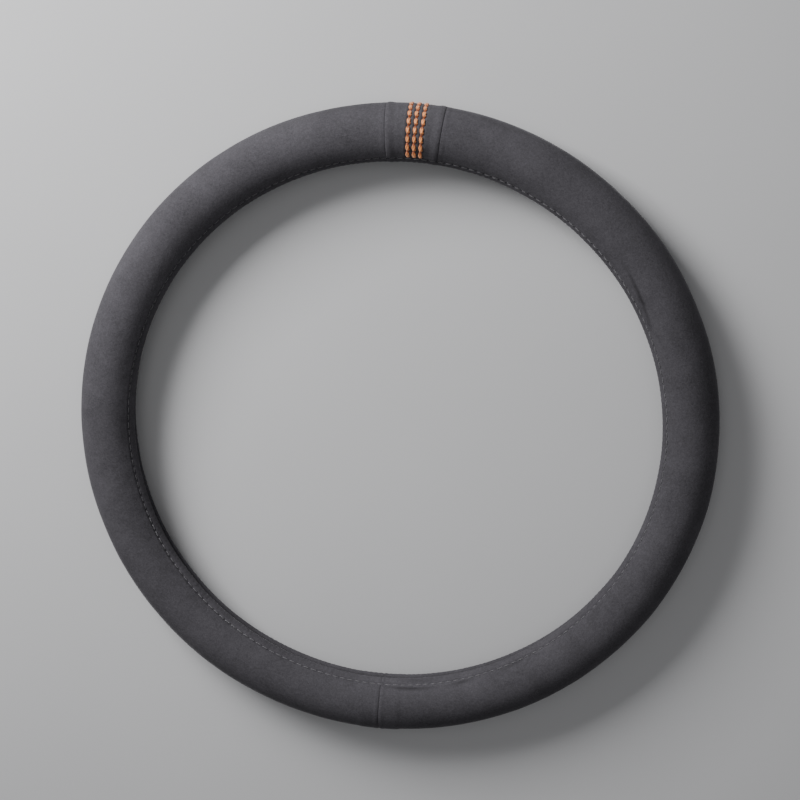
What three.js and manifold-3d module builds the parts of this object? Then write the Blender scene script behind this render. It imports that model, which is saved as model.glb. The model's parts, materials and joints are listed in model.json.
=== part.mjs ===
// A slip-on steering wheel cover: suede panels sewn over a C-section rubber liner.
// Millimetres, +Z up. The ring lies flat with its front face up, centred on the Z axis, and rests on Z = 0.
// The marker is at +Y (twelve o'clock) and the bottom seam close to -Y.
import * as THREE from "three";
import { mergeVertices } from "three/addons/utils/BufferGeometryUtils.js";
import Module from "manifold-3d";

// Driving sizes of the ring
const COVER_DIAMETER = 380; // outside, front view
const SECTION_DIAMETER = 33.6; // outside of the suede
const SUEDE = 1.3; // panel thickness
const LINER = 1.8; // rubber wall
const LINER_LIP = 1.2; // rubber wall where the suede is folded round it
const TURN_IN = 1.0; // thinned suede edge inside the lip
const GAP = 0.3; // clearance between pieces that touch

// Angles round the section, in degrees: 0 points away from the ring's centre and 90 to the front
const MOUTH_FRONT = 172; // front edge of the open mouth
const MOUTH_BACK = -150; // back edge of the open mouth

// Hems
const HEM_WIDTH = 7.3; // from the lip's edge to the stitch row
const TURN_IN_PAST = 1.6; // turned-in suede beyond the stitch row
const NOSE_ROUND = 1.1; // rounding of the folded edge
const GROOVE_WIDTH = 1.5; // dent of the stitch row
const GROOVE_DEPTH = 0.6;
const HEM_THREAD = 0.7; // thread diameter

// Seams
const BOTTOM_SEAM_SHIFT = 3; // the bottom seam lies a little right of straight below
const BOTTOM_SEAM_EDGE = 12; // raised edge over the seam allowance, each side of the bottom seam
const MARKER_SEAM_EDGE = 4; // raised edge along each side of the marker insert
const SEAM_RAISE = 0.4; // how far these edges stand up
const MARKER_WIDTH = 31.6; // insert between its two seams, along the middle of the section

// Marker stitches
const COLUMNS = ["left", "middle", "right"];
const COLUMN_PITCH = 3.9; // along the middle of the section
const COLUMN_SHIFT = 1.2; // the rows sit a little right of the insert's middle
const STITCH_PITCH = 5.1; // from needle hole to needle hole
const STITCH_MARGIN = 0.75; // from the dent of a hem's stitch row to the first needle hole
const STITCH_WIDTH = 2.3;
const STITCH_THICKNESS = 1.0;
const STITCH_SINK = 0.35; // depth of the furrow that a row of stitches draws in the suede
const STITCH_CLEARANCE = 0.2; // between a stitch and its furrow
const NEEDLE_HOLE = 0.8; // thread thickness in a needle hole
const DIP_DEPTH = 0.75; // middle of the thread below the suede's face at a needle hole
const SHOULDER = 0.15; // where a stitch reaches its full width, as a share of its length

// Directions from the ring's centre, in degrees from +X
const TWELVE_O_CLOCK = 90;
const SIX_O_CLOCK = -90;
const FULL_TURN = 360;

// Facets
const RING_SEGMENTS = 40; // a multiple of 4
const SUEDE_STEP = 15; // degrees of section for each facet of the outside
const SHELL_STEP = 24; // degrees of section for each facet inside
const FACET_MARGIN = 3; // least angle between a lip's corner and the next facet
const WEDGE_STEP = 30; // degrees between the corners of a slice's far edge
const SQUARE_CORNERS = [45, 135, 225, 315]; // of a hem thread's cross-section
const STITCH_CORNERS = [0, 60, 120, 180, 240, 300]; // of a marker thread's cross-section
const WELD = 1e-3;

const SECTION_RADIUS = SECTION_DIAMETER / 2;
const RING_RADIUS = COVER_DIAMETER / 2 - SECTION_RADIUS;
const SECTION_HEIGHT = SECTION_RADIUS;
const INNERMOST_RADIUS = RING_RADIUS - SECTION_RADIUS;

// Radii round the section, from the outside in
const suedeInside = SECTION_RADIUS - SUEDE;
const linerOutside = suedeInside - GAP;
const linerInside = linerOutside - LINER;
const lipInside = linerOutside - LINER_LIP;
const turnInOutside = lipInside - GAP;
const turnInInside = turnInOutside - TURN_IN;

const degrees = THREE.MathUtils.radToDeg;
const radians = THREE.MathUtils.degToRad;

// The angle that a length takes up on a circle.
function arcAngle(length, radius) {
  return degrees(length / radius);
}

// A point of the section, as distance from the ring's axis and height.
function sectionPoint(angle, radius) {
  const turn = radians(angle);
  return new THREE.Vector2(
    RING_RADIUS + radius * Math.cos(turn),
    SECTION_HEIGHT + radius * Math.sin(turn),
  );
}

// Angles between two limits, half a step off zero, so that a facet lies flat on the ground.
function facetAngles(from, to, step) {
  const angles = [];
  const first = Math.ceil((from + FACET_MARGIN) / step - 0.5);
  for (let k = first; (k + 0.5) * step < to - FACET_MARGIN; k += 1) {
    angles.push((k + 0.5) * step);
  }
  return angles;
}

// An arc of facets whose middles touch the circle.
function facetArc(angles, radius, step) {
  const cornerRadius = radius / Math.cos(radians(step / 2));
  return angles.map((angle) => sectionPoint(angle, cornerRadius));
}

// One lip of the section. side is 1 at the front and -1 at the back.
function lipAt(edge, side) {
  const inward = (length, radius) => edge - side * arcAngle(length, radius);
  const fold = inward(SUEDE, suedeInside);
  const turnInEnd = inward(HEM_WIDTH + TURN_IN_PAST, SECTION_RADIUS);
  return {
    edge,
    side,
    stitchRow: inward(HEM_WIDTH, SECTION_RADIUS),
    noseStart: inward(NOSE_ROUND, SECTION_RADIUS),
    fold,
    turnInEnd,
    middle: (fold + turnInEnd) / 2,
    linerEnd: fold - side * arcAngle(GAP, linerInside),
    linerStep: turnInEnd - side * arcAngle(GAP, linerInside),
  };
}

const frontLip = lipAt(MOUTH_FRONT, 1);
const backLip = lipAt(MOUTH_BACK, -1);
const shellAngles = facetAngles(backLip.linerEnd, frontLip.linerEnd, SHELL_STEP);

// The dent of a stitch row, listed from the lip towards the back of the section.
function groove(lip) {
  const half = lip.side * arcAngle(GROOVE_WIDTH / 2, SECTION_RADIUS);
  const flat = lip.side * arcAngle(HEM_THREAD / 2, SECTION_RADIUS);
  const floor = SECTION_RADIUS - GROOVE_DEPTH;
  return [
    sectionPoint(lip.stitchRow + half, SECTION_RADIUS),
    sectionPoint(lip.stitchRow + flat, floor),
    sectionPoint(lip.stitchRow - flat, floor),
    sectionPoint(lip.stitchRow - half, SECTION_RADIUS),
  ];
}

// The suede folded round a lip: from inside the liner, round the nose, to the stitch row outside.
function foldedEdge(lip) {
  return [
    sectionPoint(lip.fold, suedeInside),
    sectionPoint(lip.fold, turnInOutside),
    sectionPoint(lip.middle, turnInOutside),
    sectionPoint(lip.turnInEnd, turnInOutside),
    sectionPoint(lip.turnInEnd, turnInInside),
    sectionPoint(lip.middle, turnInInside),
    sectionPoint(lip.noseStart, turnInInside),
    sectionPoint(lip.edge, turnInInside + NOSE_ROUND),
    sectionPoint(lip.edge, SECTION_RADIUS - NOSE_ROUND),
    sectionPoint(lip.noseStart, SECTION_RADIUS),
    ...groove(lip),
  ];
}

// The whole suede section, as one closed outline.
function suedeProfile() {
  const groovePast = arcAngle(GROOVE_WIDTH / 2, SECTION_RADIUS);
  const outside = facetAngles(
    backLip.stitchRow + groovePast,
    frontLip.stitchRow - groovePast,
    SUEDE_STEP,
  );
  return [
    ...facetArc(shellAngles, suedeInside, SHELL_STEP),
    ...foldedEdge(frontLip),
    ...facetArc(outside, SECTION_RADIUS, SUEDE_STEP).reverse(),
    ...foldedEdge(backLip).reverse(),
  ];
}

// The thinned lip of the liner, from its outside to the step where the full wall starts.
function linerLip(lip) {
  return [
    sectionPoint(lip.linerEnd, linerOutside),
    sectionPoint(lip.linerEnd, lipInside),
    sectionPoint(lip.middle, lipInside),
    sectionPoint(lip.linerStep, lipInside),
    sectionPoint(lip.linerStep, linerInside),
  ];
}

function linerProfile() {
  const inside = facetAngles(backLip.linerStep, frontLip.linerStep, SHELL_STEP);
  return [
    ...facetArc(shellAngles, linerOutside, SHELL_STEP),
    ...linerLip(frontLip),
    ...facetArc(inside, linerInside, SHELL_STEP).reverse(),
    ...linerLip(backLip).reverse(),
  ];
}

// The low pad that lifts the suede over a seam allowance, from stitch row to stitch row.
function raisedProfile() {
  const angles = facetAngles(backLip.stitchRow, frontLip.stitchRow, SUEDE_STEP);
  const root = SECTION_RADIUS - SUEDE / 2;
  return [
    ...facetArc(angles, SECTION_RADIUS + SEAM_RAISE, SUEDE_STEP).reverse(),
    ...facetArc(angles, root, SUEDE_STEP),
  ];
}

// A hem thread lies in its dent, a clearance above the floor.
function hemThreadProfile(lip) {
  const thread = HEM_THREAD / 2;
  const centre = sectionPoint(lip.stitchRow, SECTION_RADIUS - GROOVE_DEPTH + GAP + thread);
  const corners = SQUARE_CORNERS.map(radians);
  return corners.map(
    (turn) =>
      new THREE.Vector2(centre.x + thread * Math.cos(turn), centre.y + thread * Math.sin(turn)),
  );
}

// A full ring, its flat facets centred on the X and Y axes and touching the true circle.
function ring(profile) {
  const stretch = 1 / Math.cos(Math.PI / RING_SEGMENTS);
  const outline = profile.map((point) => new THREE.Vector2(point.x * stretch, point.y));
  if (THREE.ShapeUtils.isClockWise(outline)) outline.reverse();
  outline.push(outline[0].clone());
  const geometry = new THREE.LatheGeometry(outline, RING_SEGMENTS, Math.PI / RING_SEGMENTS);
  return geometry.rotateX(Math.PI / 2);
}

const wasm = await Module();
wasm.setup();

function solidFrom(geometry) {
  const bare = geometry.index ? geometry.toNonIndexed() : geometry.clone();
  bare.deleteAttribute("normal");
  bare.deleteAttribute("uv");
  const welded = mergeVertices(bare, WELD);
  return new wasm.Manifold(
    new wasm.Mesh({
      numProp: 3,
      vertProperties: welded.attributes.position.array,
      triVerts: new Uint32Array(welded.index.array),
    }),
  );
}

function geometryFrom(solid) {
  const mesh = solid.getMesh();
  const geometry = new THREE.BufferGeometry();
  geometry.setAttribute("position", new THREE.BufferAttribute(mesh.vertProperties, 3));
  geometry.setIndex(new THREE.BufferAttribute(mesh.triVerts, 1));
  geometry.computeVertexNormals();
  return geometry;
}

// A slice of the whole cover's height between two directions from the ring's axis.
function wedge(from, to) {
  const reach = COVER_DIAMETER;
  const height = 2 * SECTION_DIAMETER;
  const corners = Math.ceil((to - from) / WEDGE_STEP);
  const shape = new THREE.Shape();
  shape.moveTo(0, 0);
  for (let k = 0; k <= corners; k += 1) {
    const turn = radians(from + ((to - from) * k) / corners);
    shape.lineTo(reach * Math.cos(turn), reach * Math.sin(turn));
  }
  shape.closePath();
  const geometry = new THREE.ExtrudeGeometry(shape, { depth: height, bevelEnabled: false });
  return solidFrom(geometry.translate(0, 0, -SECTION_DIAMETER / 2));
}

// Everything above the surface that the cover rests on.
function aboveGround() {
  const side = 2 * COVER_DIAMETER;
  const box = new THREE.BoxGeometry(side, side, side);
  return solidFrom(box.translate(0, 0, side / 2));
}

const suedeRing = solidFrom(ring(suedeProfile()));
const raisedRing = solidFrom(ring(raisedProfile()));
const ground = aboveGround();

// A panel between two seams, lifted over the seam allowances at the strips given.
function panel(from, to, strips) {
  const seamGap = arcAngle(GAP / 2, INNERMOST_RADIUS);
  let solid = suedeRing.intersect(wedge(from + seamGap, to - seamGap));
  for (const [start, end] of strips) {
    const slice = wedge(Math.max(start, from + seamGap), Math.min(end, to - seamGap));
    solid = solid.add(raisedRing.intersect(slice));
  }
  return solid.intersect(ground);
}

const markerHalf = arcAngle(MARKER_WIDTH / 2, RING_RADIUS);
const markerEdge = arcAngle(MARKER_SEAM_EDGE, RING_RADIUS);
const bottomEdge = arcAngle(BOTTOM_SEAM_EDGE, RING_RADIUS);
const markerStart = TWELVE_O_CLOCK - markerHalf;
const markerEnd = TWELVE_O_CLOCK + markerHalf;
const bottomSeam = SIX_O_CLOCK + arcAngle(BOTTOM_SEAM_SHIFT, RING_RADIUS);

function rightPanel() {
  return panel(bottomSeam, markerStart, [[bottomSeam, bottomSeam + bottomEdge]]);
}

function leftPanel() {
  const end = bottomSeam + FULL_TURN;
  return panel(markerEnd, end, [[end - bottomEdge, end]]);
}

// A solid through a row of rings with equal numbers of corners, closed at both ends.
function loft(rings) {
  const sides = rings[0].length;
  const corners = rings.flat();
  const faces = [];
  for (let r = 0; r + 1 < rings.length; r += 1) {
    for (let s = 0; s < sides; s += 1) {
      const a = r * sides + s;
      const b = r * sides + ((s + 1) % sides);
      faces.push(a, b, b + sides, a, b + sides, a + sides);
    }
  }
  const last = (rings.length - 1) * sides;
  for (let s = 1; s + 1 < sides; s += 1) {
    faces.push(0, s + 1, s);
    faces.push(last, last + s, last + s + 1);
  }
  const geometry = new THREE.BufferGeometry().setFromPoints(corners);
  geometry.setIndex(faces);
  geometry.computeVertexNormals();
  return geometry;
}

// A corner of a thread's cross-section: across runs along the ring and radius out of the section.
function threadCorner(direction, angle, across, radius) {
  const turn = radians(direction);
  const point = sectionPoint(angle, radius);
  return new THREE.Vector3(
    point.x * Math.cos(turn) - across * Math.sin(turn),
    point.x * Math.sin(turn) + across * Math.cos(turn),
    point.y,
  );
}

// The stretch of the section that the marker stitches cover, and the angle of one stitch.
const stitchMargin = arcAngle(GROOVE_WIDTH / 2 + STITCH_MARGIN, SECTION_RADIUS);
const stitchStart = frontLip.stitchRow - stitchMargin;
const stitchEnd = backLip.stitchRow + stitchMargin;
const stitchCount = Math.round(
  (stitchStart - stitchEnd) / arcAngle(STITCH_PITCH, SECTION_RADIUS),
);
const stitchStep = (stitchStart - stitchEnd) / stitchCount;
const stitchHeight = STITCH_CLEARANCE - STITCH_SINK + STITCH_THICKNESS / 2;

// The thread at a needle hole, and where a stitch has its full size.
const threadInHole = {
  radius: SECTION_RADIUS - DIP_DEPTH,
  halfWidth: NEEDLE_HOLE / 2,
  halfThickness: NEEDLE_HOLE / 2,
};
const threadOnTop = {
  radius: SECTION_RADIUS + stitchHeight,
  halfWidth: STITCH_WIDTH / 2,
  halfThickness: STITCH_THICKNESS / 2,
};

function needleAngle(index) {
  return stitchStart - index * stitchStep;
}

// The places along a marker thread: a needle hole, two shoulders of a stitch, the next hole, and so on.
function threadStations() {
  const shoulder = SHOULDER * stitchStep;
  const stations = [{ angle: needleAngle(0), ...threadInHole }];
  for (let k = 1; k <= stitchCount; k += 1) {
    stations.push({ angle: needleAngle(k - 1) - shoulder, ...threadOnTop });
    stations.push({ angle: needleAngle(k) + shoulder, ...threadOnTop });
    stations.push({ angle: needleAngle(k), ...threadInHole });
  }
  return stations;
}

// The direction of each column of stitches, left to right in the front view.
function columnDirection(index) {
  const place = (index - (COLUMNS.length - 1) / 2) * COLUMN_PITCH + COLUMN_SHIFT;
  return TWELVE_O_CLOCK - arcAngle(place, RING_RADIUS);
}

// One orange thread, thick and rounded over each stitch and drawn thin at each needle hole.
function markerThread(direction) {
  const sides = STITCH_CORNERS.map(radians);
  const rings = threadStations().map(({ angle, radius, halfWidth, halfThickness }) =>
    sides.map((turn) =>
      threadCorner(
        direction,
        angle,
        halfWidth * Math.cos(turn),
        radius + halfThickness * Math.sin(turn),
      ),
    ),
  );
  return solidFrom(loft(rings)).intersect(ground);
}

// A four-cornered cross-section of a cut that follows a column of stitches.
function cutSection(direction, angle, halfWidth, floor) {
  const above = SECTION_RADIUS + SUEDE;
  return [
    threadCorner(direction, angle, halfWidth, floor),
    threadCorner(direction, angle, halfWidth, above),
    threadCorner(direction, angle, -halfWidth, above),
    threadCorner(direction, angle, -halfWidth, floor),
  ];
}

// The furrow that one column of stitches lies in.
function markerFurrow(direction) {
  const halfWidth = STITCH_WIDTH / 2 + STITCH_CLEARANCE;
  const floor = SECTION_RADIUS - STITCH_SINK;
  const shoulder = SHOULDER * stitchStep;
  const start = stitchStart + shoulder;
  const end = stitchEnd - shoulder;
  const between = facetAngles(end, start, SUEDE_STEP).reverse();
  const angles = [start, ...between, end];
  return solidFrom(loft(angles.map((angle) => cutSection(direction, angle, halfWidth, floor))));
}

// One needle hole, wide enough for the thread where it dives below the furrow.
function needleHole(direction, angle) {
  const dive = (DIP_DEPTH - STITCH_SINK) / (DIP_DEPTH + stitchHeight);
  const thread = THREE.MathUtils.lerp(threadInHole.halfWidth, threadOnTop.halfWidth, dive);
  const halfWidth = thread + STITCH_CLEARANCE / 2;
  const reach = SHOULDER * stitchStep;
  return solidFrom(
    loft([
      cutSection(direction, angle + reach, halfWidth, linerOutside),
      cutSection(direction, angle - reach, halfWidth, linerOutside),
    ]),
  );
}

function markerInsert() {
  const strips = [
    [markerStart, markerStart + markerEdge],
    [markerEnd - markerEdge, markerEnd],
  ];
  let solid = panel(markerStart, markerEnd, strips);
  COLUMNS.forEach((name, index) => {
    const direction = columnDirection(index);
    solid = solid.subtract(markerFurrow(direction));
    for (let k = 0; k <= stitchCount; k += 1) {
      solid = solid.subtract(needleHole(direction, needleAngle(k)));
    }
  });
  return solid;
}

const suede = new THREE.MeshStandardMaterial({ color: 0x4a4a50, roughness: 0.95, metalness: 0 });
const rubber = new THREE.MeshStandardMaterial({ color: 0x141415, roughness: 0.7, metalness: 0 });
const orangeThread = new THREE.MeshStandardMaterial({ color: 0xe8651f, roughness: 0.6, metalness: 0 });
const greyThread = new THREE.MeshStandardMaterial({ color: 0x6a6a70, roughness: 0.7, metalness: 0 });

const cover = new THREE.Group();

function addPiece(name, geometry, material) {
  const mesh = new THREE.Mesh(geometry, material.clone());
  mesh.name = name;
  cover.add(mesh);
}

addPiece("rubber_liner", ring(linerProfile()), rubber);
addPiece("suede_panel_left", geometryFrom(leftPanel()), suede);
addPiece("suede_panel_right", geometryFrom(rightPanel()), suede);
addPiece("marker_insert", geometryFrom(markerInsert()), suede);
COLUMNS.forEach((name, index) => {
  const thread = markerThread(columnDirection(index));
  addPiece(`marker_thread_${name}`, geometryFrom(thread), orangeThread);
});
addPiece("hem_thread_front", ring(hemThreadProfile(frontLip)), greyThread);
addPiece("hem_thread_back", ring(hemThreadProfile(backLip)), greyThread);

export default cover;
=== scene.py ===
import json
import math

import bpy
import numpy as np
from mathutils import Matrix, Vector


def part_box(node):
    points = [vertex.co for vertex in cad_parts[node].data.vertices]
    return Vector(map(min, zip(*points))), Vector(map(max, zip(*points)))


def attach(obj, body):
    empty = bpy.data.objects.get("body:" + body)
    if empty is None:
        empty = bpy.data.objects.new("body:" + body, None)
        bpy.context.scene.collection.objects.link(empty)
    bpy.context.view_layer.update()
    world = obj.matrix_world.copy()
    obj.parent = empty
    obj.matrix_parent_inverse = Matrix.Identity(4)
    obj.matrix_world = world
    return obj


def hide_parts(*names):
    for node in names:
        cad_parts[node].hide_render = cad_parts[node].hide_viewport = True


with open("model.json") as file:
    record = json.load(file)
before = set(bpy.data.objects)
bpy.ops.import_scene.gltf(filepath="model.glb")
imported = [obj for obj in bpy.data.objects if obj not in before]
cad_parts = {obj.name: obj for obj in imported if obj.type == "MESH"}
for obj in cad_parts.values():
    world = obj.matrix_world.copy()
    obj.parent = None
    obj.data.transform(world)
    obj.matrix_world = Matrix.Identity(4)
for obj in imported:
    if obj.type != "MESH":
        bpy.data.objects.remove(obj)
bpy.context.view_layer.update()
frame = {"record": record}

bl_info = {
    "name": "Steering wheel cover",
    "version": (1, 0, 0),
    "blender": (4, 5, 0),
    "location": "3D View > Sidebar > Cover",
    "description": "A suede steering wheel cover with a stitched marker and a rubber liner",
    "category": "Object",
}

MM = 0.001
RIM_CHANNEL = next(m for m in frame["record"]["mounts"] if m["name"] == "rim_channel")
RING_RADIUS = RIM_CHANNEL["pos_m"][0]
SECTION_HEIGHT = RIM_CHANNEL["pos_m"][2]
SECTION_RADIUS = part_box("suede_panel_right")[1].x - RING_RADIUS
TWELVE_O_CLOCK = math.radians(90)
SIX_O_CLOCK = math.radians(-90)
FULL_TURN = 2 * math.pi
COLUMNS = ("left", "middle", "right")
SEAM_GAP = 0.025 * MM  # from the end of each suede piece to the middle of its seam
HEM_REACH = 3.4 * MM  # the stretch on each side of a stitch row that has fine steps
NEEDLE_MARGIN = 1.5 * MM  # from a hem's stitch row to the marker's first needle hole
ROW_REACH = 159 * MM  # from the ring's axis to the front stitch row, about
SIDE_ON = math.radians(90)
WAVE_COUNT = 14  # sine waves in one pattern of unevenness
SUEDE_PRESS = 0.12 * MM  # lower than this, suede is pressed flat on the ground
THREAD_PRESS = 0.3 * MM  # the same for the marker stitches
PRESS_FADE = 0.6 * MM
FOLD_PAINTED_SHADE = 0.6 * MM  # painted shade: a fold of this depth gets the darkest painted shade
STITCH_SLANT = -0.10
PLY_SHARE = 0.30  # a ply's radius as a share of the stitch's width
PLY_RISE = 0.16 * MM  # from the stitch's middle up to the middle of its upper ply
PLY_FLATNESS = 0.9
FLOOR_SIZE = 30
FLOOR_DROP = 0.2 * MM
SENSOR_WIDTH = 36
WHITE = (1.0, 1.0, 1.0, 1.0)
ORANGE_GLOW = (1.0, 0.58, 0.42, 1.0)


class CoverSizes(bpy.types.PropertyGroup):
    """Sizes of the suede, its hems, its seams and its stitches"""

    suede: bpy.props.FloatProperty(
        name="Suede", description="Thickness of the laminated suede", default=1.3 * MM, unit="LENGTH"
    )
    liner: bpy.props.FloatProperty(
        name="Liner", description="Wall of the rubber liner", default=1.8 * MM, unit="LENGTH"
    )
    liner_lip: bpy.props.FloatProperty(
        name="Liner lip", description="Rubber inside the folded hem", default=1.2 * MM, unit="LENGTH"
    )
    turn_in: bpy.props.FloatProperty(
        name="Turn-in", description="Thickness of the edge turned in", default=1.0 * MM, unit="LENGTH"
    )
    gap: bpy.props.FloatProperty(
        name="Gap", description="Room between the suede and the liner", default=0.3 * MM, unit="LENGTH"
    )
    mouth_front: bpy.props.FloatProperty(
        name="Front lip",
        description="Angle of the mouth's front edge round the section",
        default=math.radians(172),
        subtype="ANGLE",
    )
    mouth_back: bpy.props.FloatProperty(
        name="Back lip",
        description="Angle of the mouth's back edge round the section",
        default=math.radians(-150),
        subtype="ANGLE",
    )
    hem: bpy.props.FloatProperty(
        name="Hem", description="From the lip's edge to the stitch row", default=7.3 * MM, unit="LENGTH"
    )
    turn_in_past: bpy.props.FloatProperty(
        name="Turn-in past the row",
        description="Turned-in suede beyond the stitch row",
        default=1.6 * MM,
        unit="LENGTH",
    )
    groove_depth: bpy.props.FloatProperty(
        name="Groove", description="Depth of the dent along a hem row", default=0.6 * MM, unit="LENGTH"
    )
    seam_shift: bpy.props.FloatProperty(
        name="Bottom seam shift",
        description="The bottom seam lies this far right of straight below",
        default=3 * MM,
        unit="LENGTH",
    )
    seam_edge: bpy.props.FloatProperty(
        name="Bottom seam edge",
        description="Raised edge over the seam allowance",
        default=12 * MM,
        unit="LENGTH",
    )
    seam_raise: bpy.props.FloatProperty(
        name="Seam raise", description="How far raised edges stand up", default=0.34 * MM, unit="LENGTH"
    )
    seam_dip: bpy.props.FloatProperty(
        name="Seam dip", description="Depth of the valley at a seam", default=0.25 * MM, unit="LENGTH"
    )
    marker_width: bpy.props.FloatProperty(
        name="Marker", description="Width of the marker insert", default=31.6 * MM, unit="LENGTH"
    )
    marker_edge: bpy.props.FloatProperty(
        name="Marker edge",
        description="Raised edge on each side of the insert",
        default=4 * MM,
        unit="LENGTH",
    )
    column_pitch: bpy.props.FloatProperty(
        name="Column pitch", description="Between marker columns", default=3.9 * MM, unit="LENGTH"
    )
    column_shift: bpy.props.FloatProperty(
        name="Column shift",
        description="The columns sit this far right of the insert's middle",
        default=1.2 * MM,
        unit="LENGTH",
    )
    stitch_count: bpy.props.IntProperty(
        name="Marker stitches", description="Stitches in one marker column", default=15
    )
    stitch_width: bpy.props.FloatProperty(
        name="Stitch width", description="Width of a marker stitch", default=2.3 * MM, unit="LENGTH"
    )
    stitch_top: bpy.props.FloatProperty(
        name="Stitch height",
        description="Top of a marker stitch above the suede",
        default=0.85 * MM,
        unit="LENGTH",
    )
    stitch_dip: bpy.props.FloatProperty(
        name="Needle dip",
        description="How deep the marker thread dives at a needle hole",
        default=0.95 * MM,
        unit="LENGTH",
    )
    furrow: bpy.props.FloatProperty(
        name="Furrow", description="Depth of the furrow under a column", default=0.4 * MM, unit="LENGTH"
    )
    hem_stitches: bpy.props.IntProperty(
        name="Hem stitches", description="Stitches in each hem row", default=216
    )
    hem_thread: bpy.props.FloatProperty(
        name="Hem thread", description="Diameter of the hem thread", default=0.7 * MM, unit="LENGTH"
    )
    unevenness: bpy.props.FloatProperty(
        name="Unevenness",
        description="How far the stretched suede strays from a true ring",
        default=0.16 * MM,
        unit="LENGTH",
    )


class CoverColours(bpy.types.PropertyGroup):
    """Colours of the suede, the threads and the rubber"""

    suede: bpy.props.FloatVectorProperty(
        name="Suede", description="Charcoal suede", default=(0.0655, 0.0622, 0.0700), subtype="COLOR"
    )
    marker: bpy.props.FloatVectorProperty(
        name="Marker thread", description="Orange thread", default=(1.0, 0.34, 0.12), subtype="COLOR"
    )
    hem: bpy.props.FloatVectorProperty(
        name="Hem thread", description="Grey thread", default=(0.114, 0.109, 0.121), subtype="COLOR"
    )
    rubber: bpy.props.FloatVectorProperty(
        name="Rubber", description="Black rubber", default=(0.012, 0.012, 0.013), subtype="COLOR"
    )
    floor: bpy.props.FloatVectorProperty(
        name="Floor", description="Pale floor", default=(0.62, 0.62, 0.63), subtype="COLOR"
    )


class StudioSettings(bpy.types.PropertyGroup):
    """Camera and lights"""

    lens: bpy.props.FloatProperty(name="Lens", description="Focal length in mm", default=81.0)
    camera_place: bpy.props.FloatVectorProperty(
        name="Camera", description="Place of the camera", default=(0.0942, 0.2547, 1.0498), unit="LENGTH"
    )
    camera_forward: bpy.props.FloatVectorProperty(
        name="Forward",
        description="The way the camera looks",
        default=(-0.08689, -0.22396, -0.97072),
        subtype="DIRECTION",
    )
    camera_up: bpy.props.FloatVectorProperty(
        name="Up",
        description="The camera's upward direction",
        default=(-0.08794, 0.97232, -0.21646),
        subtype="DIRECTION",
    )
    key_place: bpy.props.FloatVectorProperty(
        name="Key place", description="Place of the key light", default=(-0.67, 0.65, 0.58), unit="LENGTH"
    )
    key_size: bpy.props.FloatProperty(
        name="Key size", description="Side of the key light", default=0.5, unit="LENGTH"
    )
    key_power: bpy.props.FloatProperty(name="Key", description="Power of the key light", default=16.5)
    fill_place: bpy.props.FloatVectorProperty(
        name="Fill place", description="Place of the fill light", default=(0.1, 0.3, 1.7), unit="LENGTH"
    )
    fill_size: bpy.props.FloatProperty(
        name="Fill size", description="Side of the fill light", default=1.2, unit="LENGTH"
    )
    fill_power: bpy.props.FloatProperty(name="Fill", description="Power of the fill light", default=4.0)
    world_power: bpy.props.FloatProperty(name="World", description="Ambient strength", default=0.13)


def sizes():
    return bpy.context.scene.cover_sizes


def colours():
    return bpy.context.scene.cover_colours


# Places on the ring and round its section


def section_point(angle, radius):
    """A point of the section at azimuth 0."""
    return Vector(
        (RING_RADIUS + radius * math.cos(angle), 0.0, SECTION_HEIGHT + radius * math.sin(angle))
    )


def hem_row(side):
    """Section angle of the front (side 1) or back (side -1) stitch row."""
    edge = sizes().mouth_front if side > 0 else sizes().mouth_back
    return edge - side * sizes().hem / SECTION_RADIUS


def bottom_seam():
    return SIX_O_CLOCK + sizes().seam_shift / RING_RADIUS


def marker_half():
    return sizes().marker_width / 2 / RING_RADIUS


def column_azimuth(index):
    place = (index - 1) * sizes().column_pitch + sizes().column_shift
    return TWELVE_O_CLOCK - place / RING_RADIUS


def needle_angles():
    """Section angles of the marker's needle holes, front to back."""
    margin = NEEDLE_MARGIN / SECTION_RADIUS
    return np.linspace(hem_row(1) - margin, hem_row(-1) + margin, sizes().stitch_count + 1)


# Meshes


def coordinates(mesh):
    flat = np.empty(len(mesh.vertices) * 3)
    mesh.vertices.foreach_get("co", flat)
    return flat.reshape(-1, 3)


def set_coordinates(mesh, points):
    mesh.vertices.foreach_set("co", points.ravel())
    mesh.update()


def smooth_step(low, high, value):
    t = np.clip((value - low) / (high - low), 0.0, 1.0)
    return t * t * (3 - 2 * t)


def bump(value, width):
    return np.exp(-((value / width) ** 2))


def waves(seed, points, wavelength):
    """Soft unevenness between about -1 and 1: sine waves in many directions, the same on each run."""
    rng = np.random.default_rng(seed)
    total = np.zeros(len(points))
    for _ in range(WAVE_COUNT):
        direction = rng.normal(size=3)
        direction /= np.linalg.norm(direction)
        pace = FULL_TURN / (wavelength * rng.uniform(0.7, 1.6))
        total += np.sin(points @ direction * pace + rng.uniform(0, FULL_TURN))
    return total / math.sqrt(WAVE_COUNT)


def polar(points):
    """Azimuth, distance from the axis, section angle and section radius of each point."""
    azimuth = np.arctan2(points[:, 1], points[:, 0])
    reach = np.hypot(points[:, 0], points[:, 1])
    across, up = reach - RING_RADIUS, points[:, 2] - SECTION_HEIGHT
    return azimuth, reach, np.arctan2(up, across), np.hypot(across, up)


def from_polar(azimuth, angle, radius):
    reach = RING_RADIUS + radius * np.cos(angle)
    height = SECTION_HEIGHT + radius * np.sin(angle)
    return np.stack([reach * np.cos(azimuth), reach * np.sin(azimuth), height], axis=1)


def away(azimuth, centre):
    """Signed turn from a direction, between minus and plus half a turn."""
    return (azimuth - centre + math.pi) % FULL_TURN - math.pi


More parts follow.
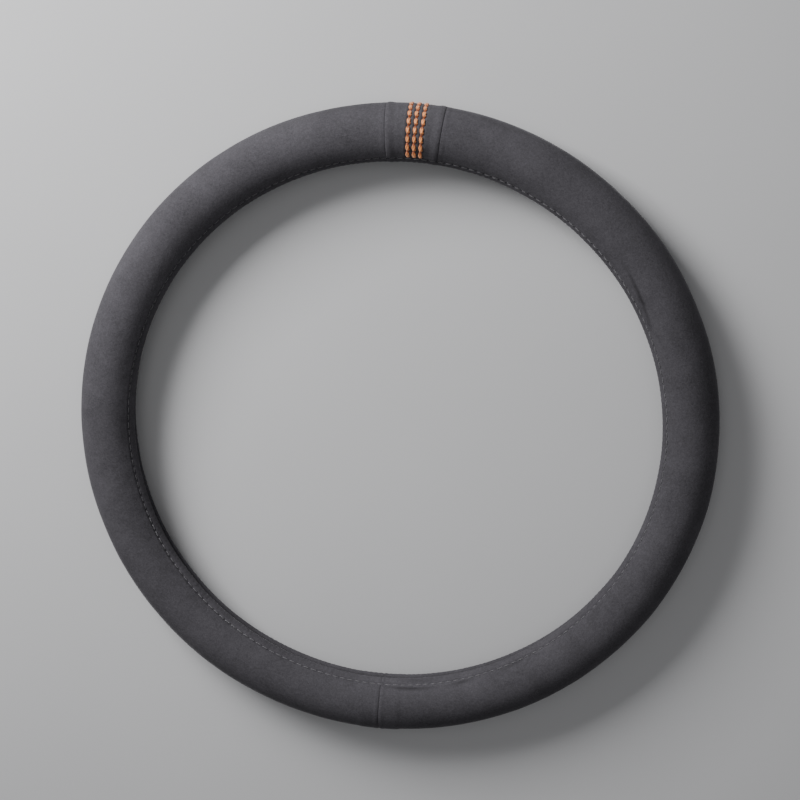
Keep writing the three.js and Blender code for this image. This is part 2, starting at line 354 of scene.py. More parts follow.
def new_circle(name, corners, radius):
    """A circle round the section's centre at azimuth 0, as a new object in edit mode."""
    bpy.ops.object.select_all(action="DESELECT")
    bpy.ops.mesh.primitive_circle_add(
        vertices=corners,
        radius=radius,
        location=(RING_RADIUS, 0, SECTION_HEIGHT),
        rotation=(SIDE_ON, 0, 0),
    )
    piece = bpy.context.object
    piece.name = name
    piece.data.name = name
    bpy.ops.object.transform_apply(location=True, rotation=True, scale=True)
    return piece


def edit(piece, kind="VERT"):
    bpy.ops.object.select_all(action="DESELECT")
    bpy.context.view_layer.objects.active = piece
    piece.select_set(True)
    bpy.ops.object.mode_set(mode="EDIT")
    bpy.ops.mesh.select_mode(type=kind)
    bpy.ops.mesh.select_all(action="DESELECT")
    bpy.ops.object.mode_set(mode="OBJECT")


def pick(piece, vertices=(), edges=()):
    """Selects vertices or edges by index, in edit mode."""
    edit(piece, "EDGE" if len(edges) else "VERT")
    for index in vertices:
        piece.data.vertices[index].select = True
    for index in edges:
        piece.data.edges[index].select = True
    bpy.ops.object.mode_set(mode="EDIT")


def done():
    bpy.ops.object.mode_set(mode="OBJECT")


def keep_arc(piece, start, end):
    """Deletes the part of a section circle outside two section angles."""
    _, _, angle, _ = polar(coordinates(piece.data))
    pick(piece, vertices=np.flatnonzero((angle < start) | (angle > end)))
    bpy.ops.mesh.delete(type="VERT")
    done()


def refine_arc(piece, start, end, cuts):
    """Cuts the edges between two section angles into shorter ones, on the same circle."""
    points = coordinates(piece.data)
    _, _, angle, radius = polar(points)
    chosen = [
        edge.index
        for edge in piece.data.edges
        if all(start <= angle[v] <= end for v in edge.vertices)
    ]
    size = radius[0]
    pick(piece, edges=chosen)
    bpy.ops.mesh.subdivide(number_cuts=cuts)
    done()
    points = coordinates(piece.data)
    azimuth, _, angle, _ = polar(points)
    set_coordinates(piece.data, from_polar(azimuth, angle, np.full(len(points), size)))


def trace(piece, start, path):
    """Extrudes one end vertex of an outline through a path, and leaves the last point selected."""
    pick(piece, vertices=[start])
    here = piece.data.vertices[start].co.copy()
    for target in path:
        bpy.ops.mesh.extrude_vertices_move(TRANSFORM_OT_translate={"value": target - here})
        here = target


def end_vertex(piece, highest):
    _, _, angle, _ = polar(coordinates(piece.data))
    return int(np.argmax(angle) if highest else np.argmin(angle))


def nose(side, outer, inner, steps):
    """The rounded fold of a hem, from the outer face round to the turned-in edge."""
    edge = sizes().mouth_front if side > 0 else sizes().mouth_back
    middle, half = (outer + inner) / 2, (outer - inner) / 2
    turns = [math.pi * k / steps for k in range(1, steps)]
    return [
        section_point(
            edge - side * half * (1 - math.sin(turn)) / middle, middle + half * math.cos(turn)
        )
        for turn in turns
    ]


def close_outline(piece):
    """Joins the two ends of an outline, which are its only vertices with one edge."""
    done()
    uses = np.zeros(len(piece.data.vertices), int)
    for edge in piece.data.edges:
        uses[list(edge.vertices)] += 1
    pick(piece, vertices=np.flatnonzero(uses == 1))
    bpy.ops.mesh.edge_face_add()
    done()


def spin_ring(piece, stretches):
    """Sweeps an outline from azimuth 0 through stretches of (turn, steps)."""
    edit(piece)
    bpy.ops.object.mode_set(mode="EDIT")
    bpy.ops.mesh.select_all(action="SELECT")
    for turn, steps in stretches:
        bpy.ops.mesh.spin(steps=steps, angle=-turn, center=(0, 0, 0), axis=(0, 0, 1))
    done()


def refine_ring(piece, first, last, step, cuts):
    """Cuts the long steps of a sweep between two azimuths, and rounds them to true circles."""
    points = coordinates(piece.data)
    azimuth = np.arctan2(points[:, 1], points[:, 0])
    ends = np.array([edge.vertices[:] for edge in piece.data.edges])
    span = np.abs(away(azimuth[ends[:, 0]], azimuth[ends[:, 1]]))
    long_edges = np.flatnonzero(span > 0.7 * step)
    pick(piece, edges=long_edges)
    bpy.ops.mesh.subdivide(number_cuts=cuts)
    done()
    points = coordinates(piece.data)
    azimuth = np.arctan2(points[:, 1], points[:, 0]) % FULL_TURN
    middle = first + (np.floor((azimuth - first) / step) + 0.5) * step
    stretch = np.cos(azimuth - middle) / math.cos(step / 2)
    inside = (azimuth > first) & (azimuth < last)
    points[inside, :2] *= stretch[inside, None]
    set_coordinates(piece.data, points)


def cap_ends(piece):
    """Closes the open ends of a swept outline with faces."""
    edit(piece)
    bpy.ops.object.mode_set(mode="EDIT")
    bpy.ops.mesh.select_mode(type="EDGE")
    bpy.ops.mesh.select_non_manifold()
    bpy.ops.mesh.edge_face_add()
    bpy.ops.mesh.quads_convert_to_tris(ngon_method="BEAUTY")
    done()


def settle_mesh(piece, turn=0.0):
    """Merges doubles, turns the faces outwards, turns the mesh to its azimuth and shades it smooth."""
    edit(piece)
    bpy.ops.object.mode_set(mode="EDIT")
    bpy.ops.mesh.select_all(action="SELECT")
    bpy.ops.mesh.remove_doubles(threshold=0.5e-6)
    bpy.ops.mesh.normals_make_consistent(inside=False)
    bpy.ops.mesh.select_all(action="DESELECT")
    done()
    piece.data.transform(Matrix.Rotation(turn, 4, "Z"))
    bpy.ops.object.shade_smooth()


def press_flat(piece, soft):
    """Flattens what would sink into the ground, and what lies lower than a soft height above it."""
    points = coordinates(piece.data)
    low = points[:, 2] < soft
    points[low, 2] = soft * np.exp((points[low, 2] - soft) / PRESS_FADE)
    set_coordinates(piece.data, points)


def finish_piece(piece, material, slot, *nodes):
    piece.data.materials.clear()
    piece.data.materials.append(material)
    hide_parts(*nodes)
    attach(piece, "root")


# Suede


def suede_outline(name, corners, cuts):
    """The closed outline of the suede: outer face, noses, turned-in edges and inner face."""
    s = sizes()
    outer = SECTION_RADIUS
    suede_inside = outer - s.suede
    lip_inside = suede_inside - s.gap - s.liner_lip
    flap_outside = lip_inside - s.gap
    flap_inside = flap_outside - s.turn_in
    fold_round = (outer - flap_inside) / 2 / ((outer + flap_inside) / 2)
    piece = new_circle(name, corners, outer)
    keep_arc(piece, s.mouth_back + fold_round, s.mouth_front - fold_round)
    for side in (1, -1):
        row = hem_row(side)
        reach = HEM_REACH / SECTION_RADIUS
        refine_arc(piece, row - reach, row + reach, cuts)

    def lip(side):
        edge = s.mouth_front if side > 0 else s.mouth_back
        fold = edge - side * s.suede / suede_inside
        start = edge - side * fold_round
        end = edge - side * (s.hem + s.turn_in_past) / SECTION_RADIUS
        flap = [section_point(start + (end - start) * t, flap_inside) for t in (0, 0.3, 0.65, 1)]
        back = [section_point(end + (fold - end) * t, flap_outside) for t in (0, 0.5, 1)]
        return [*nose(side, outer, flap_inside, 9), *flap, *back, section_point(fold, suede_inside)]

    front, back = lip(1), lip(-1)
    fold_angles = np.linspace(
        s.mouth_front - s.suede / suede_inside, s.mouth_back + s.suede / suede_inside, 20
    )
    inner = [section_point(angle, suede_inside) for angle in fold_angles[1:-1]]
    trace(piece, end_vertex(piece, True), front + inner + list(reversed(back)))
    close_outline(piece)
    return piece


def hem_puckers(azimuth, across, side):
    """Small gathers that a stitch row draws into the suede beside it, in metres."""
    pitch = FULL_TURN / sizes().hem_stitches
    phase = azimuth / pitch * FULL_TURN
    rng = np.random.default_rng(7 + side)
    uneven = 1 + 0.5 * np.sin(azimuth * 23 + rng.uniform(0, 6)) * np.sin(azimuth * 9 + 1)
    near = np.cos(phase) * bump(across - 0.9 * MM, 1.0 * MM)
    far = np.sin(azimuth * sizes().hem_stitches / 2.3 + 3 * np.sin(azimuth * 11))
    lip_side = np.cos(phase * 1.5 + 2.0 * np.sin(azimuth * 17))
    lip_side *= smooth_step(0.8 * MM, 2.2 * MM, -across)
    lip_side *= 1 - smooth_step(5.6 * MM, 7.2 * MM, -across)
    body_side = far * bump(across - 2.4 * MM, 2.2 * MM)
    return uneven * (-0.055 * near + 0.075 * lip_side + 0.05 * body_side) * MM


def hem_relief(azimuth, angle):
    """The stitch groove with its needle dents, the full hem band and the gathers, in metres."""
    pitch = FULL_TURN / sizes().hem_stitches
    total = np.zeros(len(azimuth))
    for side in (1, -1):
        across = side * (hem_row(side) - angle) * SECTION_RADIUS
        off_needle = away(azimuth * sizes().hem_stitches, 0) / FULL_TURN * pitch * ROW_REACH
        needle = bump(off_needle, 0.7 * MM)
        total -= sizes().groove_depth * bump(across, 0.82 * MM) * (0.85 + 0.4 * needle)
        band = np.clip(-across / sizes().hem, 0, 1)
        total += 0.22 * MM * np.sin(math.pi * band) ** 0.8
        total += 0.12 * MM * bump(across - 1.7 * MM, 1.1 * MM)
        total += hem_puckers(azimuth, across, side)
    return total


# Azimuth and section angle in degrees, length in mm, slant, depth in mm
CREASES = (
    (-80.5, 160.0, 26.0, 0.0, 0.20),
    (-80.0, 153.5, 22.0, 0.03, 0.15),
    (-82.6, 138.5, 28.0, -0.04, 0.40),
    (-71.0, 140.5, 13.0, 0.10, 0.34),
    (-59.1, 143.0, 18.0, 0.03, 0.30),
    (-56.0, 136.0, 8.0, 0.8, 0.13),
    (34.3, 125.5, 34.0, -0.137, 0.46),
    (33.0, 128.0, 15.0, 0.5, 0.16),
    (29.0, 135.0, 12.0, -0.2, 0.13),
    (24.5, 126.0, 14.0, 0.35, 0.14),
    (38.5, 134.0, 10.0, 0.1, 0.10),
    (-38.0, 131.0, 13.0, 0.4, 0.11),
    (-52.0, 134.0, 12.0, -0.4, 0.10),
    (150.0, 126.0, 16.0, 0.3, 0.10),
    (-142.0, 132.0, 12.0, 0.5, 0.10),
    (-118.0, 134.0, 11.0, -0.3, 0.09),
)


def creases(azimuth, angle):
    """Faint folds beside the front hem, where the suede is gathered, in metres."""
    total = np.zeros(len(azimuth))
    for turn, place, length, slant, depth in CREASES:
        along = away(azimuth, math.radians(turn)) * RING_RADIUS / MM
        across = (angle - math.radians(place)) * SECTION_RADIUS / MM
        bent = across - slant * along
        total -= depth * MM * bump(bent, 1.3) * bump(along, length / 2)
        total += 0.5 * depth * MM * bump(bent - 2.2, 1.6) * bump(along, length / 2)
    return total


def seam_relief(distance, edge):
    """The raised edge beside a seam and its valley. distance is the way to the seam, in metres."""
    s = sizes()
    raised = s.seam_raise * (1 - smooth_step(edge - 1.4 * MM, edge + 1.8 * MM, distance))
    valley = s.seam_dip * np.clip(1 - distance / (1.0 * MM), 0, 1) ** 1.7
    ridge = 0.12 * MM * bump(distance - 1.9 * MM, 1.0 * MM)
    return raised - valley + ridge


def shape_suede(piece, seams, extra=None):
    """Gives swept suede its seams, hems, gathers and unevenness. seams are (azimuth, raised edge)."""
    points = coordinates(piece.data)
    azimuth, reach, angle, radius = polar(points)
    outside = smooth_step(SECTION_RADIUS - 2.2 * MM, SECTION_RADIUS - 0.1 * MM, radius)
    relief = hem_relief(azimuth, angle)
    folds = creases(azimuth, angle)
    relief += folds
    away_from_hem = np.minimum(
        (hem_row(1) - angle) * SECTION_RADIUS, (angle - hem_row(-1)) * SECTION_RADIUS
    )
    on_body = smooth_step(-0.5 * MM, 2.5 * MM, away_from_hem)
    for seam, edge in seams:
        distance = np.abs(away(azimuth, seam)) * reach
        full = seam_relief(distance, edge)
        relief += np.where(full > 0, full * (0.35 + 0.65 * on_body), full)
    wobble = waves(3, points, 55 * MM) * 0.75 + waves(4, points, 17 * MM) * 0.25
    relief += sizes().unevenness * wobble * 0.7
    if extra is not None:
        relief += extra(azimuth, angle)
    set_coordinates(piece.data, from_polar(azimuth, angle, radius + relief * outside))
    press_flat(piece, SUEDE_PRESS)
    # Painted shade: the fold attribute darkens the suede's colour along the creases, the more the deeper
    # the crease.
    shadow = piece.data.attributes.new("fold", "FLOAT", "POINT")
    depth = np.clip(-folds * outside / FOLD_PAINTED_SHADE, 0, 1)
    shadow.data.foreach_set("value", depth.astype(np.float32))


def sweep_panel(piece, start, end):
    """Fine steps next to both seams, and between them five steps for every hem stitch."""
    step = FULL_TURN / sizes().hem_stitches
    allowance = 3 * MM / RING_RADIUS
    first = math.ceil((start + allowance) / step) * step
    last = math.floor((end - allowance) / step) * step
    seam_side = [(allowance, 10), (first - start - allowance, 5)]
    far_side = [(end - last - allowance, 5), (allowance, 10)]
    spin_ring(piece, [*seam_side, (last - first, round((last - first) / step)), *far_side])
    refine_ring(piece, first - start, last - start, step, 4)


def suede_panel(name, start, end, node, seams):
    piece = suede_outline(name, 106, 3)
    seam_gap = SEAM_GAP / RING_RADIUS
    start, end = start + seam_gap, end - seam_gap
    sweep_panel(piece, start, end)
    cap_ends(piece)
    settle_mesh(piece, start)
    shape_suede(piece, seams)
    finish_piece(piece, suede_material(), "suede", node)
    return piece


def furrows(azimuth, angle):
    """The furrow of each marker column, with a pit at each needle hole, in metres."""
    total = np.zeros(len(azimuth))
    holes = needle_angles()
    inside = smooth_step(holes[-1] - 0.05, holes[-1] + 0.02, angle)
    inside *= 1 - smooth_step(holes[0] - 0.02, holes[0] + 0.05, angle)
    nearest = np.min(np.abs(angle[:, None] - holes[None, :]), axis=1) * SECTION_RADIUS
    for index in range(len(COLUMNS)):
        across = away(azimuth, column_azimuth(index)) * (
            RING_RADIUS + SECTION_RADIUS * np.cos(angle)
        )
        total -= sizes().furrow * bump(across, 1.35 * MM) * inside
        total -= 0.62 * MM * bump(across, 0.85 * MM) * bump(nearest, 0.8 * MM)
        shoulder = bump(np.abs(across) - 2.15 * MM, 0.7 * MM)
        total += 0.10 * MM * shoulder * inside * (1 - 0.5 * bump(nearest, 1.4 * MM))
    return total


# Threads


def straight_tube(name, corners, cuts):
    """A straight closed tube along X, from -1 to 1, with a radius of 1, cut into short lengths."""
    bpy.ops.object.select_all(action="DESELECT")
    bpy.ops.mesh.primitive_cylinder_add(
        vertices=corners, radius=1, depth=2, end_fill_type="NGON", rotation=(0, SIDE_ON, 0)
    )
    piece = bpy.context.object
    piece.name = name
    piece.data.name = name
    bpy.ops.object.transform_apply(location=True, rotation=True, scale=True)
    points = coordinates(piece.data)
    sides = [
        edge.index
        for edge in piece.data.edges
        if abs(points[edge.vertices[0], 0] - points[edge.vertices[1], 0]) > 1
    ]
    pick(piece, edges=sides)
    bpy.ops.mesh.subdivide(number_cuts=cuts)
    done()
    return piece


def twisted_stitch(name, plies, corners, cuts, shape):
    """One stitch of plied thread along X. shape gives its line and sizes at each place."""
    parts = []
    for ply in range(plies):
        part = straight_tube(f"{name}_{ply}", corners, cuts)
        points = coordinates(part.data)
        along = points[:, 0]
        place, half_width, half_height, ply_radius, twist, half_length = shape(along)
        turn = FULL_TURN * ply / plies + twist
        across = np.cos(turn) * half_width + points[:, 1] * ply_radius
        up = place + np.sin(turn) * half_height + points[:, 2] * ply_radius * PLY_FLATNESS
        set_coordinates(part.data, np.stack([along * half_length, across, up], axis=1))
        parts.append(part)
    bpy.ops.object.select_all(action="DESELECT")
    for part in parts:
        part.select_set(True)
    bpy.context.view_layer.objects.active = parts[0]
    bpy.ops.object.join()
    piece = bpy.context.object
    piece.name = name
    return piece


def repeat(piece, counts, turn, centre, axis):
    """Copies the whole mesh round an axis, a turn apart, then the copies together, and so on."""
    for count in counts:
        edit(piece)
        bpy.ops.object.mode_set(mode="EDIT")
        bpy.ops.mesh.select_all(action="SELECT")
        angle = -turn * (count - 1)
        bpy.ops.mesh.spin(steps=count - 1, angle=angle, center=centre, axis=axis, dupli=True)
        done()
        turn *= count


def marker_bead(along):
    """Line and sizes of one marker stitch, which is full over its length and dives at both ends."""
    s = sizes()
    end = np.abs(along)
    dive = smooth_step(0.50, 0.97, end)
    fullness = 1 - 0.66 * smooth_step(0.38, 0.97, end)
    ply = PLY_SHARE * s.stitch_width * (0.55 + 0.45 * fullness)
    half_width = (s.stitch_width / 2 - PLY_SHARE * s.stitch_width) * fullness
    half_height = PLY_RISE * fullness
    top = s.stitch_top - PLY_SHARE * s.stitch_width * PLY_FLATNESS - PLY_RISE
    place = top - (top + s.stitch_dip) * dive ** 1.25
    holes = needle_angles()
    half_length = (holes[0] - holes[1]) / 2 * (SECTION_RADIUS + 0.1 * MM)
    return place, half_width, half_height, ply, 1.9 * along, half_length * 1.02


def marker_column(index, material):
    """One column of orange stitches over the insert."""
    s = sizes()
    side = COLUMNS[index]
    holes = needle_angles()
    count = len(holes) - 1
    step = holes[0] - holes[1]
    piece = twisted_stitch(f"marker_stitches_{side}", 3, 10, 15, marker_bead)
    points = coordinates(piece.data)
    slant = points[:, 0] * STITCH_SLANT
    first = (holes[0] + holes[1]) / 2
    angle = first - points[:, 0] / SECTION_RADIUS
    radius = SECTION_RADIUS + points[:, 2]
    reach = RING_RADIUS + radius * np.cos(angle)
    height = SECTION_HEIGHT + radius * np.sin(angle)
    set_coordinates(piece.data, np.stack([reach, points[:, 1] - slant, height], axis=1))
    centre = (RING_RADIUS, 0, SECTION_HEIGHT)
    repeat(piece, (3, count // 3), step, centre, (0, 1, 0))
    points = coordinates(piece.data)
    _, _, angle, _ = polar(points * (1, 0, 1))
    stitch = np.clip(np.floor((holes[0] - angle) / step), 0, count - 1).astype(int)
    rng = np.random.default_rng(40 + index)
    shift = rng.normal(0, 0.07 * MM, count)
    fatten = rng.normal(1, 0.035, count)
    points[:, 1] = points[:, 1] * fatten[stitch] + shift[stitch]
    set_coordinates(piece.data, points)
    # Painted shade: the dive attribute darkens the thread near each needle hole and low on each stitch's
    # sides, which leaves the crowns lightest.
    nearest = np.min(np.abs(angle[:, None] - holes[None, :]), axis=1) / (step / 2)
    lift = np.hypot(points[:, 0] - RING_RADIUS, points[:, 2] - SECTION_HEIGHT) - SECTION_RADIUS
    low_side_painted_shade = 1 - smooth_step(0.05 * MM, 0.9 * s.stitch_top, lift)
    dive = np.maximum(1 - smooth_step(0.2, 0.75, nearest), 0.85 * low_side_painted_shade)
    shadow = piece.data.attributes.new("dive", "FLOAT", "POINT")
    shadow.data.foreach_set("value", dive.astype(np.float32))
    settle_mesh(piece, column_azimuth(index))
    press_flat(piece, THREAD_PRESS)
    finish_piece(piece, material, "orange_thread", f"marker_thread_{side}")
    return piece


def hem_bead(along):
    """Line and sizes of one hem stitch."""
    s = sizes()
    end = np.abs(along)
    dive = smooth_step(0.6, 1.0, end)
    ply = s.hem_thread * 0.30 * (1 - 0.25 * dive)
    spread = s.hem_thread * 0.20 * (1 - 0.4 * dive)
    place = (0.38 - 1.0 * dive) * MM - s.groove_depth
    pitch = FULL_TURN / s.hem_stitches
    row_reach = RING_RADIUS + SECTION_RADIUS * math.cos(hem_row(1))
    return place, spread, spread, ply, 3.4 * along, pitch * row_reach / 2


def hem_row_stitches(name, side, material, node):
    """One row of hem stitches round the ring."""
    piece = twisted_stitch(name, 2, 5, 3, hem_bead)
    points = coordinates(piece.data)
    row = hem_row(side)
    pitch = FULL_TURN / sizes().hem_stitches
    row_reach = RING_RADIUS + SECTION_RADIUS * math.cos(hem_row(1))
    azimuth = points[:, 0] / row_reach + pitch / 2
    across = points[:, 1]
    radius = SECTION_RADIUS + points[:, 2]
    angle = row + across / SECTION_RADIUS
    set_coordinates(piece.data, from_polar(azimuth, angle, radius))
    repeat(piece, (6, 6, sizes().hem_stitches // 36), pitch, (0, 0, 0), (0, 0, 1))
    settle_mesh(piece)
    finish_piece(piece, material, "hem_thread", node)
    return piece


# Materials


def new_material(name):
    """A material with its shader, ready for nodes."""
    material = bpy.data.materials.new(name)
    material.use_nodes = True
    return material


class Nodes:
    """Short calls to lay out a material's nodes."""

    def __init__(self, material):
        self.tree = material.node_tree
        self.shader = self.tree.nodes["Principled BSDF"]
        self.place = self.add("ShaderNodeTexCoord").outputs["Object"]

    def add(self, kind, **values):
        node = self.tree.nodes.new(kind)
        for name, value in values.items():
            setattr(node, name, value)
        return node

    def link(self, output, socket):
        self.tree.links.new(output, socket)

    def noise(self, scale, detail, roughness, distortion=0.0):
        node = self.add("ShaderNodeTexNoise")
        self.link(self.place, node.inputs["Vector"])
        node.inputs["Scale"].default_value = scale
        node.inputs["Detail"].default_value = detail
        node.inputs["Roughness"].default_value = roughness
        node.inputs["Distortion"].default_value = distortion
        return node.outputs[0]

    def remap(self, value, low, high, to_low, to_high):
        node = self.add("ShaderNodeMapRange")
        self.link(value, node.inputs["Value"])
        names = ("From Min", "From Max", "To Min", "To Max")
        for name, number in zip(names, (low, high, to_low, to_high)):
            node.inputs[name].default_value = number
        return node.outputs[0]

    def spread(self, noise, to_low, to_high):
        """Spreads a noise, which lies mostly between 0.3 and 0.7, over a range."""
        return self.remap(noise, 0.3, 0.7, to_low, to_high)

    def maths(self, operation, first, second):
        node = self.add("ShaderNodeMath", operation=operation)
        for socket, value in zip(node.inputs, (first, second)):
            if isinstance(value, (int, float)):
                socket.default_value = value
            else:
                self.link(value, socket)
        return node.outputs[0]

    def mix(self, factor, first, second):
        node = self.add("ShaderNodeMix", data_type="RGBA")
        self.link(factor, node.inputs[0])
        for socket, value in zip((node.inputs[6], node.inputs[7]), (first, second)):
            if isinstance(value, tuple):
                socket.default_value = value
            else:
                self.link(value, socket)
        return node.outputs[2]

    def bump(self, height, distance, strength, normal=None):
        node = self.add("ShaderNodeBump")
        node.inputs["Distance"].default_value = distance
        node.inputs["Strength"].default_value = strength
        self.link(height, node.inputs["Height"])
        if normal is not None:
            self.link(normal, node.inputs["Normal"])
        return node.outputs[0]


def shade(colour, factor):
    return tuple(min(1.0, c * factor) for c in colour[:3]) + (1.0,)


def suede_material():
    """Charcoal suede: brushed patches, mottling, short fibres, a soft sheen and painted shade in the
    folds.
    """
    found = bpy.data.materials.get("charcoal_suede")
    if found:
        return found
    material = new_material("charcoal_suede")
    n = Nodes(material)
    base = colours().suede
    patches = n.noise(24, 3.0, 0.55, distortion=0.6)
    mottle = n.noise(130, 4.0, 0.6, distortion=0.4)
    grain = n.noise(620, 3.0, 0.6)
    fibre = n.noise(1500, 3.0, 0.65)
    tone = n.spread(patches, -0.14, 0.14)
    for pattern, share in ((mottle, 0.09), (grain, 0.12), (fibre, 0.24)):
        tone = n.maths("ADD", tone, n.spread(pattern, -share, share))
    factor = n.remap(tone, -0.5, 0.5, 0.0, 1.0)
    colour = n.mix(factor, shade(base, 0.50), shade(base, 1.55))
    # Painted shade: the colour goes darker where the fold attribute marks a crease.
    fold = n.add("ShaderNodeAttribute", attribute_name="fold").outputs["Fac"]
    n.link(n.mix(fold, colour, shade(base, 0.30)), n.shader.inputs["Base Color"])
    n.link(n.spread(mottle, 0.88, 1.0), n.shader.inputs["Roughness"])
    n.shader.inputs["Specular IOR Level"].default_value = 0.25
    n.shader.inputs["Sheen Weight"].default_value = 0.30
    n.shader.inputs["Sheen Roughness"].default_value = 0.22
    n.shader.inputs["Sheen Tint"].default_value = (0.86, 0.85, 0.88, 1.0)
    nap = n.bump(grain, 0.30 * MM, 0.6)
    fine = n.bump(n.noise(1900, 3.0, 0.65), 0.11 * MM, 0.6, nap)
    n.link(fine, n.shader.inputs["Normal"])
    return material


def thread_material(name, base, sheen, shine, glow):
    """Twisted thread with fine fibres, and painted shade where it dives into the suede and low on the
    sides of each stitch, from the dive attribute.
    """
    material = new_material(name)
    n = Nodes(material)
    strands = n.noise(2600, 3.0, 0.6)
    fuzz = n.noise(700, 2.0, 0.5)
    fine = n.spread(strands, 0.0, 0.6)
    factor = n.maths("ADD", fine, n.spread(fuzz, 0.0, 0.4))
    colour = n.mix(factor, shade(base, 0.72), shade(base, 1.22))
    # Painted shade: where the dive attribute is set, the colour is mixed towards a deep dark tone of the
    # thread.
    dive = n.add("ShaderNodeAttribute", attribute_name="dive").outputs["Fac"]
    deep = tuple(0.24 * c**1.5 for c in base) + (1.0,)
    n.link(n.mix(dive, colour, deep), n.shader.inputs["Base Color"])
    n.shader.inputs["Roughness"].default_value = 0.40
    n.shader.inputs["Specular IOR Level"].default_value = shine
    n.shader.inputs["Sheen Weight"].default_value = sheen
    n.shader.inputs["Sheen Roughness"].default_value = 0.5
    n.shader.inputs["Sheen Tint"].default_value = glow
    n.shader.inputs["Specular Tint"].default_value = glow
    n.link(n.bump(strands, 0.06 * MM, 0.6), n.shader.inputs["Normal"])
    return material


def rubber_material():
    """Black moulded rubber with a faint grain."""
    material = new_material("liner_rubber")
    n = Nodes(material)
    base = colours().rubber
    grain = n.noise(1100, 3.0, 0.6)
    dust = n.noise(60, 3.0, 0.6)
    colour = n.mix(n.remap(dust, 0.35, 0.75, 0, 1), shade(base, 0.9), shade(base, 1.9))
    n.link(colour, n.shader.inputs["Base Color"])
    n.link(n.spread(grain, 0.52, 0.68), n.shader.inputs["Roughness"])
    n.link(n.bump(grain, 0.08 * MM, 0.35), n.shader.inputs["Normal"])
    return material


def floor_material():
    material = new_material("pale_floor")
    n = Nodes(material)
    base = colours().floor
    colour = n.mix(n.noise(9, 3.0, 0.5), shade(base, 0.97), shade(base, 1.02))
    n.link(colour, n.shader.inputs["Base Color"])
    n.shader.inputs["Roughness"].default_value = 0.8
    n.shader.inputs["Specular IOR Level"].default_value = 0.2
    return material


# Operators


class COVER_OT_studio(bpy.types.Operator):
    """Makes the floor, the lights and the camera"""

    bl_idname = "cover.studio"
    bl_label = "Studio"

    def execute(self, context):
        settings = context.scene.cover_studio
        bpy.ops.object.select_all(action="DESELECT")
        bpy.ops.object.camera_add()
        camera = context.object
        forward = Vector(settings.camera_forward).normalized()
        right = forward.cross(Vector(settings.camera_up)).normalized()
        up = right.cross(forward)
        turn = Matrix((right, up, -forward)).transposed()
        camera.matrix_world = Matrix.Translation(settings.camera_place) @ turn.to_4x4()
        camera.data.sensor_width = SENSOR_WIDTH
        camera.data.lens = settings.lens
        context.scene.camera = camera
        bpy.ops.mesh.primitive_plane_add(size=FLOOR_SIZE, location=(0, 0, -FLOOR_DROP))
        floor = context.object
        floor.name = "floor"
        bpy.ops.object.transform_apply(location=True, rotation=True, scale=True)
        floor.data.materials.append(floor_material())
        self.light("key", settings.key_place, settings.key_size, settings.key_power)
        self.light("fill", settings.fill_place, settings.fill_size, settings.fill_power)
        world = bpy.data.worlds.new("studio")
        world.use_nodes = True
        back = world.node_tree.nodes["Background"]
        back.inputs["Color"].default_value = (0.97, 0.98, 1.0, 1.0)
        back.inputs["Strength"].default_value = settings.world_power
        context.scene.world = world
        return {"FINISHED"}

    def light(self, name, place, size, power):
        bpy.ops.object.light_add(type="AREA", location=place)
        lamp = bpy.context.object
        lamp.name = name
        lamp.data.size = size
        lamp.data.energy = power
        lamp.rotation_euler = (-Vector(place)).to_track_quat("-Z", "Y").to_euler()


class COVER_OT_rubber_liner(bpy.types.Operator):
    """Makes the rubber ring inside the suede"""

    bl_idname = "cover.rubber_liner"
    bl_label = "Rubber liner"

    def execute(self, context):
        s = sizes()
        outside = SECTION_RADIUS - s.suede - s.gap
        inside = outside - s.liner
        lip_inside = outside - s.liner_lip
        suede_inside = SECTION_RADIUS - s.suede
        ends = []
        for side, edge in ((1, s.mouth_front), (-1, s.mouth_back)):
            fold = edge - side * (s.suede / suede_inside + s.gap / inside)
            step = edge - side * ((s.hem + s.turn_in_past) / SECTION_RADIUS + s.gap / inside)
            ends.append((fold, step))
        (front, front_step), (back, back_step) = ends
        piece = new_circle("rubber_ring", 72, outside)
        keep_arc(piece, back, front)
        path = [section_point(front, outside - 0.2 * MM), section_point(front, lip_inside)]
        path += [section_point(front_step, lip_inside), section_point(front_step, inside)]
        arc = np.linspace(front_step, back_step, 44)[1:-1]
        path += [section_point(angle, inside) for angle in arc]
        path += [section_point(back_step, inside), section_point(back_step, lip_inside)]
        path += [section_point(back, lip_inside), section_point(back, outside - 0.2 * MM)]
        trace(piece, end_vertex(piece, True), path)
        close_outline(piece)
        steps = 60
        spin_ring(piece, [(FULL_TURN, steps)])
        refine_ring(piece, 0, FULL_TURN, FULL_TURN / steps, 3)
        settle_mesh(piece)
        bpy.ops.object.shade_smooth_by_angle(angle=math.radians(40))
        finish_piece(piece, rubber_material(), "rubber", "rubber_liner")
        return {"FINISHED"}


class COVER_OT_suede_panels(bpy.types.Operator):
    """Makes the two long suede panels"""

    bl_idname = "cover.suede_panels"
    bl_label = "Suede panels"

    def execute(self, context):
        s = sizes()
        low, half = bottom_seam(), marker_half()
        right_end = TWELVE_O_CLOCK - half
        left_start = TWELVE_O_CLOCK + half
        seams = [(low, s.seam_edge), (right_end, 0.0), (left_start, 0.0)]
        suede_panel("right_suede", low, right_end, "suede_panel_right", seams)
        suede_panel("left_suede", left_start, low + FULL_TURN, "suede_panel_left", seams)
        return {"FINISHED"}


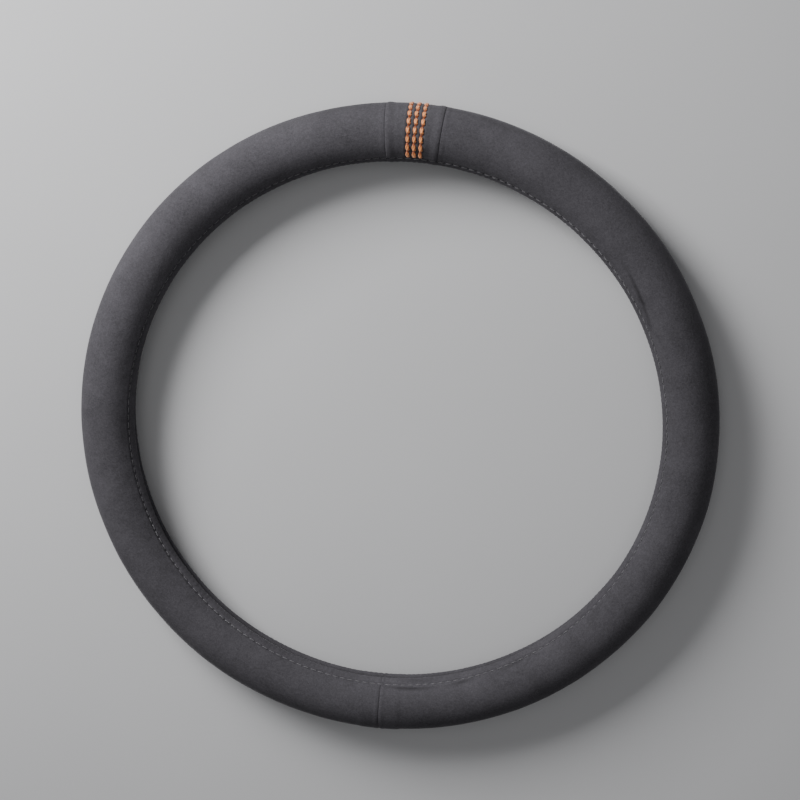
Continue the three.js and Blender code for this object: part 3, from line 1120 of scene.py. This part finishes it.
class COVER_OT_marker_insert(bpy.types.Operator):
    """Makes the short suede insert that carries the marker stitches"""

    bl_idname = "cover.marker_insert"
    bl_label = "Marker insert"

    def execute(self, context):
        s = sizes()
        half = marker_half()
        seam_gap = SEAM_GAP / RING_RADIUS
        start = TWELVE_O_CLOCK - half + seam_gap
        turn = 2 * (half - seam_gap)
        piece = suede_outline("marker_suede", 240, 1)
        spin_ring(piece, [(turn, 96)])
        cap_ends(piece)
        settle_mesh(piece, start)
        seams = [(TWELVE_O_CLOCK - half, s.marker_edge), (TWELVE_O_CLOCK + half, s.marker_edge)]
        shape_suede(piece, seams, furrows)
        finish_piece(piece, suede_material(), "suede", "marker_insert")
        return {"FINISHED"}


class COVER_OT_marker_stitches(bpy.types.Operator):
    """Makes the three columns of orange marker stitches"""

    bl_idname = "cover.marker_stitches"
    bl_label = "Marker stitches"

    def execute(self, context):
        material = thread_material("orange_marker_thread", colours().marker, 1.0, 1.0, ORANGE_GLOW)
        for index in range(len(COLUMNS)):
            marker_column(index, material)
        return {"FINISHED"}


class COVER_OT_hem_stitches(bpy.types.Operator):
    """Makes the stitch rows along both hems"""

    bl_idname = "cover.hem_stitches"
    bl_label = "Hem stitches"

    def execute(self, context):
        material = thread_material("grey_hem_thread", colours().hem, 0.5, 0.5, WHITE)
        hem_row_stitches("hem_stitches_front", 1, material, "hem_thread_front")
        hem_row_stitches("hem_stitches_back", -1, material, "hem_thread_back")
        return {"FINISHED"}


OPERATORS = (
    COVER_OT_studio,
    COVER_OT_rubber_liner,
    COVER_OT_suede_panels,
    COVER_OT_marker_insert,
    COVER_OT_marker_stitches,
    COVER_OT_hem_stitches,
)


class COVER_PT_sidebar(bpy.types.Panel):
    """Lists the cover's pieces"""

    bl_idname = "COVER_PT_sidebar"
    bl_label = "Steering wheel cover"
    bl_space_type = "VIEW_3D"
    bl_region_type = "UI"
    bl_category = "Cover"

    def draw(self, context):
        for operator in OPERATORS:
            self.layout.operator(operator.bl_idname)
        scene = context.scene
        for group in (scene.cover_sizes, scene.cover_colours, scene.cover_studio):
            box = self.layout.box()
            for name in group.__annotations__:
                box.prop(group, name)


CLASSES = (CoverSizes, CoverColours, StudioSettings, *OPERATORS, COVER_PT_sidebar)


def register():
    for cls in CLASSES:
        bpy.utils.register_class(cls)
    bpy.types.Scene.cover_sizes = bpy.props.PointerProperty(type=CoverSizes)
    bpy.types.Scene.cover_colours = bpy.props.PointerProperty(type=CoverColours)
    bpy.types.Scene.cover_studio = bpy.props.PointerProperty(type=StudioSettings)


def unregister():
    del bpy.types.Scene.cover_studio
    del bpy.types.Scene.cover_colours
    del bpy.types.Scene.cover_sizes
    for cls in reversed(CLASSES):
        bpy.utils.unregister_class(cls)


def main():
    register()
    bpy.ops.cover.studio()
    bpy.ops.cover.rubber_liner()
    bpy.ops.cover.suede_panels()
    bpy.ops.cover.marker_insert()
    bpy.ops.cover.marker_stitches()
    bpy.ops.cover.hem_stitches()


if __name__ == "__main__":
    main()
